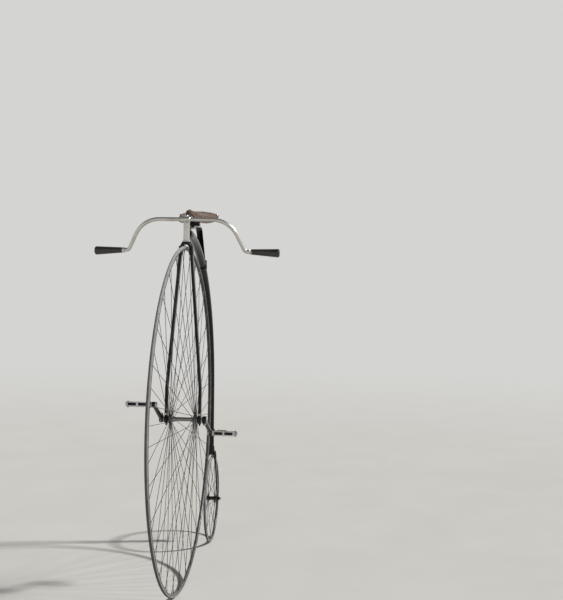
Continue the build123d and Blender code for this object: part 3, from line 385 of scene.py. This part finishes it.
def rim_enamel(name, centre, inner):
    """Dark enamel on the hollow rim, rubbed thin at its lip and dusty inside."""
    f = Finish(name, Coat_Roughness=0.25, Specular_IOR_Level=0.35)
    out = f.off_axle(centre)
    lip = f.step(out, inner + 0.005, inner + 0.009)
    rubbed = f.step(f.noise(130, 5, 0.7), 0.52, 0.64) * lip
    dust = f.step(f.noise(60, 5, 0.65), 0.40, 0.80) * 0.40 + lip * 0.12
    tone = f.blend(rubbed, rim_dark, rim_rubbed)
    f.paint(Base_Color=f.blend(dust, tone, dust_colour), Metallic=rubbed * 0.3)
    f.paint(Roughness=f.noise(50, 3) * 0.2 + 0.34 + dust * 0.4)
    f.paint(Coat_Weight=(1 - dust) * 0.35)
    f.relief(f.noise(240, 4), 0.00008)
    return f.material


def tyre_rubber(name, centre, wheel_r, tyre_r):
    """Grey solid rubber: scuffed, dusty tread, finely crazed sides and a dark edge at the rim."""
    f = Finish(name, Specular_IOR_Level=0.12, Sheen_Weight=0.12, Sheen_Roughness=0.5)
    out = f.off_axle(centre)
    tread = f.step(out, wheel_r - tyre_r * 0.75, wheel_r - tyre_r * 0.2)
    edge = 1 - f.step(out, wheel_r - tyre_r * 1.45, wheel_r - tyre_r * 1.05)
    grit = f.noise(520, 6, 0.7)
    crazed = 1 - f.step(f.cells(420, "DISTANCE_TO_EDGE"), 0.0, 0.07)
    patches = f.step(f.noise(18, 5, 0.6), 0.30, 0.75)
    cracks = crazed * f.step(f.noise(40, 3), 0.48, 0.62) * (1 - tread)
    tone = f.blend(patches, rubber_dark, rubber_light)
    tone = f.blend(tread * (grit * 0.5 + 0.05), tone, rubber_tread)
    tone = f.blend(edge * 0.75, tone, rubber_edge)
    f.paint(Base_Color=f.blend(cracks * 0.7, tone, rubber_crack))
    f.paint(Roughness=0.62 + grit * 0.2 + tread * 0.12)
    f.relief(grit * 0.6 * (tread * 0.8 + 0.2) - cracks * 0.5, 0.00035)
    return f.material


def black_horn():
    """Polished black horn with faint brown streaks along the handle."""
    f = Finish("black horn", Coat_Weight=0.5, Coat_Roughness=0.08)
    streaks = f.noise(1.0, 5, 0.6, f.stretched(260, 22, 240))
    band = f.step(streaks, 0.50, 0.68)
    worn = f.step(f.noise(45, 4), 0.45, 0.70)
    tone = f.blend(band, horn_black, horn_streak)
    f.paint(Base_Color=f.blend(worn * 0.25, tone, horn_worn))
    f.paint(Roughness=worn * 0.20 + streaks * 0.10 + 0.14)
    f.relief(streaks, 0.00008)
    return f.material


def saddle_hide():
    """Moulded harness leather: pored grain, creases, a burnished top and darkened edges; the top's lighter tone on
    faces that look up is partly a painted highlight.
    """
    f = Finish("saddle leather", Coat_Roughness=0.22, Specular_IOR_Level=0.5)
    pores = f.cells(850)
    grain = 1 - f.step(f.cells(620, "DISTANCE_TO_EDGE"), 0.0, 0.10)
    folds = f.noise(1.0, 5, 0.65, f.stretched(60, 190, 60))
    creases = f.step(folds, 0.60, 0.64) - f.step(folds, 0.66, 0.70)
    top = f.step(f.facing.axis("Z"), 0.55, 0.97)
    mottle = f.noise(26, 5, 0.6)
    rim = 1 - f.add("ShaderNodeAttribute", dict(attribute_name="edge"), {}, "Fac")
    tone = f.blend(mottle, hide_dark, hide_light)
    # faces that look up turn lighter: partly rubbed leather, partly a painted highlight where the light falls from
    # above; the coat and lower roughness are the real burnish
    tone = f.blend(top * 0.45 * mottle, tone, hide_rubbed_highlight)
    tone = f.blend(creases * 0.35 + grain * 0.18, tone, hide_crease)
    f.paint(Base_Color=f.blend(f.step(rim, 0.72, 1.0) * 0.75, tone, hide_edge))
    f.paint(Roughness=0.50 - top * 0.17 + mottle * 0.12, Coat_Weight=top * 0.3)
    f.relief(pores * 0.35 - grain * 0.6 - creases * 0.5 + mottle * 0.3, 0.00045)
    return f.material


def copper():
    """Copper rivets, browned but for their rubbed crowns."""
    f = Finish("rivet copper", Metallic=1.0)
    age = f.step(f.noise(500, 4), 0.35, 0.65)
    f.paint(Base_Color=f.blend(age, copper_bright, copper_brown))
    f.paint(Roughness=age * 0.25 + 0.22)
    return f.material


def linen():
    """Waxed linen thread."""
    f = Finish("linen thread", Roughness=0.7)
    twist = f.noise(1500, 3)
    f.paint(Base_Color=f.blend(twist, linen_dark, linen_light))
    f.relief(twist, 0.0001)
    return f.material


finishes = {
    "black_enamel": black_enamel(),
    "nickel": nickel(),
    "bright_steel": bright_steel(),
    "handle_horn": black_horn(),
    "saddle_leather": saddle_hide(),
}
wheel_finishes = {
    "front_tyre": tyre_rubber("front tyre rubber", hub, front_r, front_tyre_r),
    "rear_tyre": tyre_rubber("rear tyre rubber", rear_hub, rear_r, rear_tyre_r),
    "front_rim": rim_enamel("front rim enamel", hub, front_rim_inner),
    "rear_rim": rim_enamel("rear rim enamel", rear_hub, rear_rim_inner),
    "front_hub": wheel_steel("front spoke steel", hub, front_hub_reach, front_hub_grey),
    "rear_hub": wheel_steel("rear spoke steel", rear_hub, rear_hub_reach, rear_hub_grey),
}
slot_of = {part["node"]: part["material_slot"] for part in frame["record"]["subparts"]}
for name, node in frame["nodes"].items():
    for holder in node.material_slots:
        holder.material = wheel_finishes.get(name) or finishes[slot_of[name]]


# Mesh pieces

sharp_angle = radians(35)  # from which faces meet in a visible edge


def show(name, data):
    """An object in the scene, of a mesh, a lamp or a camera."""
    shown = bpy.data.objects.new(name, data)
    bpy.context.scene.collection.objects.link(shown)
    return shown


def put(name, mesh, material, body):
    """A finished mesh as a piece that rides on a body."""
    piece = show(name, mesh)
    if not mesh.materials:
        mesh.materials.append(material)
    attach(piece, body)
    return piece


def turned(profiles, sides=32):
    """Turned shapes in one mesh: each has a place, an axis and its outline (along, radius)."""
    shape = bmesh.new()
    for place, axis, outline in profiles:
        axis = axis.normalized()
        across = axis.orthogonal().normalized()
        third = axis.cross(across)
        rings = []
        for along, radius in outline:
            centre = place + axis * along
            if radius == 0:
                rings.append([shape.verts.new(centre)])
                continue
            turn = [2 * pi * k / sides for k in range(sides)]
            rings.append([
                shape.verts.new(centre + (across * cos(a) + third * sin(a)) * radius) for a in turn
            ])
        for low, high in zip(rings, rings[1:]):
            for k in range(sides):
                corners = [low[k % len(low)], low[(k + 1) % len(low)]]
                corners += [high[(k + 1) % len(high)], high[k % len(high)]]
                shape.faces.new(list(dict.fromkeys(corners)))
    bmesh.ops.recalc_face_normals(shape, faces=shape.faces)
    mesh = bpy.data.meshes.new("turned")
    shape.to_mesh(mesh)
    shape.free()
    mesh.shade_smooth()
    mesh.set_sharp_from_angle(angle=sharp_angle)
    return mesh


# Repeated pieces


class Repeat(Graph):
    """A Geometry Nodes tree with named inputs for its sizes."""

    kinds = {int: "NodeSocketInt", float: "NodeSocketFloat", bpy.types.Material: "NodeSocketMaterial"}

    def __init__(self, name, **sizes):
        super().__init__(bpy.data.node_groups.new(name, "GeometryNodeTree"))
        face = self.tree.interface
        face.new_socket("Geometry", in_out="INPUT", socket_type="NodeSocketGeometry")
        face.new_socket("Geometry", in_out="OUTPUT", socket_type="NodeSocketGeometry")
        for key, kind in sizes.items():
            face.new_socket(key.replace("_", " "), in_out="INPUT", socket_type=self.kinds[kind])
        self.source = self.tree.nodes.new("NodeGroupInput")
        self.sink = self.tree.nodes.new("NodeGroupOutput")

    def given(self, key):
        return Value(self, self.source.outputs[key.replace("_", " ")])

    def close(self, instances):
        """Makes the instances real, gives them their finish and ends the tree."""
        real = self.add("GeometryNodeRealizeInstances", {}, {0: instances})
        inputs = {"Geometry": real, "Material": self.given("Finish")}
        self.feed(self.sink.inputs[0], self.add("GeometryNodeSetMaterial", {}, inputs))
        return self

    def apply(self, name, carrier, body, slot, **sizes):
        """Runs the tree on a carrier mesh and keeps the result as a plain piece."""
        piece = show(name, carrier)
        modifier = piece.modifiers.new(name, "NODES")
        modifier.node_group = self.tree
        for key, value in sizes.items():
            modifier[self.tree.interface.items_tree[key.replace("_", " ")].identifier] = value
        ready = piece.evaluated_get(bpy.context.evaluated_depsgraph_get())
        mesh = bpy.data.meshes.new_from_object(ready)
        bpy.data.objects.remove(piece)
        mesh.set_sharp_from_angle(angle=sharp_angle)
        return put(name, mesh, sizes["Finish"], body)


def heads_tree():
    """A small turned or many-sided head on every point, standing along the point's aim."""
    t = Repeat("fastener heads", Sides=int, Foot=float, Shoulder=float, Height=float,
               Crown=float, Crown_height=float, Finish=bpy.types.Material)

    def cone(foot, top, height):
        inputs = dict(Vertices=t.given("Sides"), Depth=t.given(height))
        inputs |= {"Radius Bottom": t.given(foot), "Radius Top": t.given(top)}
        return t.add("GeometryNodeMeshCone", {}, inputs)

    shank = cone("Foot", "Shoulder", "Height")
    crown = cone("Shoulder", "Crown", "Crown_height")
    lift = t.add("ShaderNodeCombineXYZ", {}, {2: t.given("Height")})
    crown = t.add("GeometryNodeTransform", {}, {"Geometry": crown, "Translation": lift})
    head = t.add("GeometryNodeJoinGeometry", {}, {0: shank})
    t.tree.links.new(crown.socket, head.socket.node.inputs[0])
    aim = t.add("GeometryNodeInputNamedAttribute", dict(data_type="FLOAT_VECTOR"), {"Name": "aim"})
    turn = t.add("FunctionNodeAlignRotationToVector", dict(axis="Z"), {"Vector": aim})
    inputs = {"Points": t.given("Geometry"), "Instance": head, "Rotation": turn}
    return t.close(t.add("GeometryNodeInstanceOnPoints", {}, inputs))


def beads_tree():
    """Long beads, such as stitches, one after the other along a line."""
    t = Repeat("stitches", Pitch=float, Length=float, Thickness=float, Finish=bpy.types.Material)
    line = t.add("GeometryNodeMeshToCurve", {}, {"Mesh": t.given("Geometry")})
    inputs = {"Curve": line, "Length": t.given("Pitch")}
    spaced = t.add("GeometryNodeResampleCurve", dict(mode="LENGTH"), inputs)
    ball = t.add("GeometryNodeMeshUVSphere", {}, {"Segments": 8, "Rings": 5, "Radius": 0.5})
    size = {0: t.given("Thickness"), 1: t.given("Thickness"), 2: t.given("Length")}
    size = t.add("ShaderNodeCombineXYZ", {}, size)
    tangent = t.add("GeometryNodeInputTangent", {}, {})
    turn = t.add("FunctionNodeAlignRotationToVector", dict(axis="Z"), {"Vector": tangent})
    inputs = {"Points": spaced, "Instance": ball, "Rotation": turn, "Scale": size}
    return t.close(t.add("GeometryNodeInstanceOnPoints", {}, inputs))


def points_mesh(places):
    """A carrier of points, each with the way that its head looks."""
    mesh = bpy.data.meshes.new("points")
    mesh.from_pydata([tuple(place) for place, _ in places], [], [])
    aim = mesh.attributes.new("aim", "FLOAT_VECTOR", "POINT")
    for item, (_, way) in zip(aim.data, places):
        item.vector = way
    return mesh


def line_mesh(*lines):
    """A carrier of open lines."""
    mesh = bpy.data.meshes.new("lines")
    places, edges = [], []
    for line in lines:
        start = len(places)
        places += [tuple(place) for place in line]
        edges += [(k, k + 1) for k in range(start, len(places) - 1)]
    mesh.from_pydata(places, edges, [])
    return mesh


heads = heads_tree()
beads = beads_tree()


# Wheels


def spokes(centre, end_r, count, flange_y, row, start_r, tangent, offset):
    """Each spoke's ends: on the flange's circle, and just inside the rim."""
    swing = acos(tangent / end_r) - acos(tangent / start_r)
    for side in (1, -1):
        for lean in (1, -1):
            first = (0 if side > 0 else 1) + (0 if lean > 0 else 2)
            for k in range(first, count, 4):
                rim = 2 * pi * k / count
                flange = rim - lean * swing
                out = side * (flange_y + lean * row)
                start = centre + Vector((start_r * cos(flange), out, start_r * sin(flange)))
                end = centre + Vector((end_r * cos(rim), side * offset, end_r * sin(rim)))
                yield start, end


def spoke_fittings(prefix, body, finish, rows):
    """Nipples at the rim and the thicker screwed ends at the flange."""
    nipples, threads = [], []
    for start, end in rows:
        way = (end - start).normalized()
        nipples.append((end + way * spoke_gap, -way))
        threads.append((start + way * thread_start, way))
    heads.apply(f"{prefix}_nipples", points_mesh(nipples), body, "spoke_steel", Finish=finish, **nipple)
    heads.apply(f"{prefix}_spoke_threads", points_mesh(threads), body, "spoke_steel", Finish=finish, **thread)


front_spokes = spokes(hub, front_rim_inner - spoke_gap, **front_lacing)
rear_spokes = spokes(rear_hub, rear_rim_inner - spoke_gap, **rear_lacing)
spoke_fittings("front", "front_wheel", wheel_finishes["front_hub"], front_spokes)
spoke_fittings("rear", "rear_wheel", wheel_finishes["rear_hub"], rear_spokes)


# Fasteners


def in_plane(angle):
    """A direction in the wheels' plane, by its degrees above level."""
    return Vector((cos(radians(angle)), 0, sin(radians(angle))))


cranks = {"left": (1, crank_angle + 180), "right": (-1, crank_angle)}
boss_chord = sqrt(crank_boss_r**2 - cotter_off**2)
steel = finishes["bright_steel"]
cotter_nuts, cotter_washers = [], []
for side, angle in cranks.values():
    arm, up = in_plane(angle), in_plane(angle + 90)
    place = hub + arm * cotter_off + up * (boss_chord - washer_sink)
    place += left * side * (crank_boss_y + crank_boss_w / 2)
    cotter_washers.append((place, up, washer_outline))
    cotter_nuts.append((place + up * washer_t, up))
put("cotter_washers", turned(cotter_washers), steel, "front_wheel")
heads.apply("cotter_nuts", points_mesh(cotter_nuts), "front_wheel", "bright_steel", Finish=steel,
            **cotter_nut)

pedal_ahead = in_plane(pedal_pitch)
for name in cranks:
    pin = Vector(joints[f"pedal_{name}_spin"]["pos_m"])
    rivets = []
    for way in (pedal_ahead, -pedal_ahead):
        for end in (1, -1):
            middle = pin + left * end * (pedal_l / 2 - rivet_in)
            rivets.append((middle + way * (pedal_half - rivet_sink), way))
    heads.apply(f"pedal_rivets_{name}", points_mesh(rivets), f"pedal_{name}", "bright_steel", Finish=steel,
                **pedal_rivet)

lug_bolts = []
for side in (1, -1):
    for way in (1, -1):
        middle = hub + left * side * bearing_y + steer_up * lug_bolt_up
        lug_bolts.append((middle + steer_ahead * way * (lug_half - bolt_sink), steer_ahead * way))
heads.apply("bearing_bolts", points_mesh(lug_bolts), "fork", "bright_steel", Finish=steel, **bearing_bolt)


# Mounting step

plate_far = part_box("mounting_step")[1].y
step_corners = [vert.co for vert in frame["nodes"]["mounting_step"].data.vertices]
plate_corners = [place for place in step_corners if place.y > plate_far - step_plate_w]
plate_top = max(place.z for place in plate_corners)
plate_x = (min(place.x for place in plate_corners) + max(place.x for place in plate_corners)) / 2
rib_outline = [(0, 0), (step_rib_end, step_rib_r), (step_rib_l - step_rib_end, step_rib_r), (step_rib_l, 0)]
ribs = []
for k in range(step_ribs):
    start = Vector((plate_x - step_rib_l / 2, plate_far - step_rib_first - k * step_rib_pitch, plate_top))
    ribs.append((start, Vector((1, 0, 0)), rib_outline))
put("step_ribs", turned(ribs, sides=12), finishes["black_enamel"], "frame")


# Saddle


def between(rows, x):
    """The saddle's row at x, on a smooth curve through the rows of the table."""
    spots = [row[0] for row in rows]
    x = min(max(x, spots[-1]), spots[0])
    k = next(i for i in range(len(rows) - 1) if spots[i] >= x >= spots[i + 1])
    before, after = rows[max(k - 1, 0)], rows[min(k + 2, len(rows) - 1)]
    width = spots[k] - spots[k + 1]
    share = (spots[k] - x) / width
    result = []
    for p, a, b, n in zip(before, rows[k], rows[k + 1], after):
        enter = (b - p) / (before[0] - rows[k + 1][0]) * width
        leave = (n - a) / (rows[k][0] - after[0]) * width
        s2, s3 = share**2, share**3
        result.append(
            a * (2 * s3 - 3 * s2 + 1) + enter * (s3 - 2 * s2 + share)
            + b * (3 * s2 - 2 * s3) + leave * (s3 - s2)
        )
    return result


def saddle_section(x):
    """Half of the leather's outside at x, from ridge to flap edge, as (out, height)."""
    _, half_w, ridge, shoulder, flap_w, flap_h = between(saddle_rows, x)
    radius = (half_w**2 + shoulder**2) / (2 * shoulder)
    spread = asin(min(1.0, half_w / radius))
    line = []
    for k in range(crown_steps + 1):
        lean = spread * k / crown_steps
        line.append((radius * sin(lean), ridge - radius * (1 - cos(lean))))
    for k in range(1, flap_steps + 1):
        share = k / flap_steps
        line.append((half_w + (flap_w - half_w) * share, ridge - shoulder - (flap_h - shoulder) * share))
    for _ in range(smooth_rounds):
        inner = [
            tuple((p + 2 * q + r) / 4 for p, q, r in zip(a, b, c))
            for a, b, c in zip(line, line[1:], line[2:])
        ]
        line = [line[0]] + inner + [line[-1]]
    return line


def saddle_leather():
    """The moulded top: one skin from nose to cantle, thickened, with its edges rounded."""
    shape = bmesh.new()
    edge_layer = shape.verts.layers.float.new("edge")
    first, last = saddle_rows[0][0], saddle_rows[-1][0]
    rows = []
    for i in range(hide_rows + 1):
        even, bunched = i / hide_rows, (1 - cos(pi * i / hide_rows)) / 2
        share = (even + bunched) / 2  # closer together at nose and cantle
        x = first + (last - first) * share
        half = saddle_section(x)
        section = [(-y, z) for y, z in reversed(half[1:])] + half
        count = len(section)
        row = []
        for j, (y, z) in enumerate(section):
            vert = shape.verts.new((x, y, z))
            inward = min(j, count - 1 - j) / (count * edge_band)
            vert[edge_layer] = min(1.0, inward, (hide_rows - i) / cantle_band)
            row.append(vert)
        rows.append(row)
    for near, far in zip(rows, rows[1:]):
        for j in range(len(near) - 1):
            shape.faces.new((near[j], far[j], far[j + 1], near[j + 1]))
    nose, top = rows[0], len(rows[0]) - 1
    for j in range(top // 2):
        shape.faces.new(dict.fromkeys((nose[j], nose[j + 1], nose[top - j - 1], nose[top - j])))
    bmesh.ops.recalc_face_normals(shape, faces=shape.faces)
    if sum(face.normal.z for face in shape.faces) < 0:
        bmesh.ops.reverse_faces(shape, faces=shape.faces)
    mesh = bpy.data.meshes.new("saddle_top")
    shape.to_mesh(mesh)
    shape.free()
    mesh.shade_smooth()
    piece = put("saddle_top", mesh, finishes["saddle_leather"], "frame")
    wall = piece.modifiers.new("wall", "SOLIDIFY")
    wall.thickness = leather_t
    wall.offset = -1.0
    wall.use_even_offset = True
    edges = piece.modifiers.new("edges", "BEVEL")
    edges.width = leather_round
    edges.segments = 3
    edges.limit_method = "ANGLE"
    edges.angle_limit = radians(50)
    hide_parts("saddle_leather")


def saddle_surface(x, share):
    """A place on the leather at x, by its share of the way from ridge to flap edge, and its normal."""
    half = saddle_section(x)
    k = min(len(half) - 2, max(1, round(abs(share) * (len(half) - 1))))
    (y, z), (y0, z0), (y1, z1) = half[k], half[k - 1], half[k + 1]
    side = 1 if share >= 0 else -1
    normal = Vector((0, side * (z0 - z1), y1 - y0)).normalized()
    return Vector((x, side * y, z)), normal


def in_from_edge(half, reach):
    """The place on half a section that lies this far in from the flap's edge."""
    for near, far in zip(half[::-1], half[-2::-1]):
        length = dist(near, far)
        if length >= reach:
            return [a + (b - a) * reach / length for a, b in zip(near, far)]
        reach -= length
    return half[0]


saddle_leather()
rivets = []
rivet_places = [(saddle_rows[-1][0] + cantle_rivet_in, share) for share in cantle_rivets]
for x, share in rivet_places + list(nose_rivets):
    place, normal = saddle_surface(x, share)
    rivets.append((place - normal * saddle_rivet_sink, normal, saddle_rivet_outline))
put("saddle_rivets", turned(rivets, sides=20), copper(), "frame")

edge_lines = []
for side in (1, -1):
    line = []
    for k in range(stitch_rows):
        x = stitch_front + (stitch_back - stitch_front) * k / (stitch_rows - 1)
        y, z = in_from_edge(saddle_section(x), stitch_in)
        line.append(Vector((x, side * y, z)))
    edge_lines.append(line)
beads.apply("saddle_stitches", line_mesh(*edge_lines), "frame", "saddle_leather", Pitch=stitch_pitch,
            Length=stitch_l, Thickness=stitch_t, Finish=linen())


# Studio and camera


def seen_directly(graph):
    """1 where the camera looks, and where metal or glass mirrors; 0 where light only spreads."""
    kinds = ("Camera", "Glossy", "Transmission")
    camera, glossy, through = [graph.add("ShaderNodeLightPath", {}, {}, f"Is {kind} Ray") for kind in kinds]
    return camera + glossy + through


def sky():
    """Even light that grows towards the top, shown as a plain pale backdrop."""
    world = bpy.data.worlds.new("studio")
    world.use_nodes = True
    bpy.context.scene.world = world
    graph = Graph(world.node_tree)
    way = graph.add("ShaderNodeTexCoord", {}, {}, "Generated")
    level = graph.step(way.axis("Z"), *sky_rise) * sky_more + sky_low
    wall = graph.blend(graph.step(way.axis("Z"), *ceiling_rise), backdrop, ceiling)
    light = graph.add("ShaderNodeBackground", {}, {"Color": level})
    shown = graph.add("ShaderNodeBackground", {}, {"Color": wall})
    seen = seen_directly(graph)
    mixed = graph.add("ShaderNodeMixShader", {}, {0: seen, 1: light, 2: shown})
    graph.feed(world.node_tree.nodes["World Output"].inputs[0], mixed)


def floor():
    """A pale floor that keeps the machine's shadow and far off turns into the backdrop."""
    f = Finish("pale floor", Roughness=1.0, Specular_IOR_Level=0.0, Emission_Strength=1.0)
    away = f.add("ShaderNodeVectorMath", dict(operation="LENGTH"), {0: f.place}, "Value")
    far = f.step(away, *floor_fade)
    sand = f.blend(f.noise(3, 4), floor_low, floor_high)
    sand = f.blend(seen_directly(f), floor_glow, sand)
    f.paint(Base_Color=f.blend(far, sand, black), Emission_Color=f.blend(far, black, backdrop))
    mesh = bpy.data.meshes.new("floor")
    corners = [(-1, -1), (1, -1), (1, 1), (-1, 1)]
    mesh.from_pydata([(x * floor_reach, y * floor_reach, ground_z) for x, y in corners], [], [(0, 1, 2, 3)])
    mesh.materials.append(f.material)
    show("floor", mesh)


def key_light():
    """One soft light from the rider's left and above."""
    lamp = bpy.data.lights.new("key", "SUN")
    lamp.energy = key_strength
    lamp.angle = radians(key_angle)
    show("key", lamp).rotation_euler = Vector(key_way).to_track_quat("Z", "Y").to_euler()


def photo_camera():
    """The camera where the photograph was taken from."""
    lens = bpy.data.cameras.new("camera")
    lens.lens = camera_lens
    lens.sensor_width = film_width
    camera = show("camera", lens)
    azimuth, elevation, roll = (radians(a) for a in (camera_azimuth, camera_elevation, camera_roll))
    back = Vector((sin(azimuth) * cos(elevation), -cos(azimuth) * cos(elevation), sin(elevation)))
    level = Vector((0, 0, 1)).cross(back).normalized()
    above = back.cross(level)
    right = level * cos(roll) + above * sin(roll)
    up = above * cos(roll) - level * sin(roll)
    turn = Matrix((right, up, back)).transposed()
    camera.matrix_world = Matrix.Translation(camera_at) @ turn.to_4x4()
    bpy.context.scene.camera = camera


bpy.context.scene.view_settings.view_transform = "Standard"
sky()
floor()
key_light()
photo_camera()
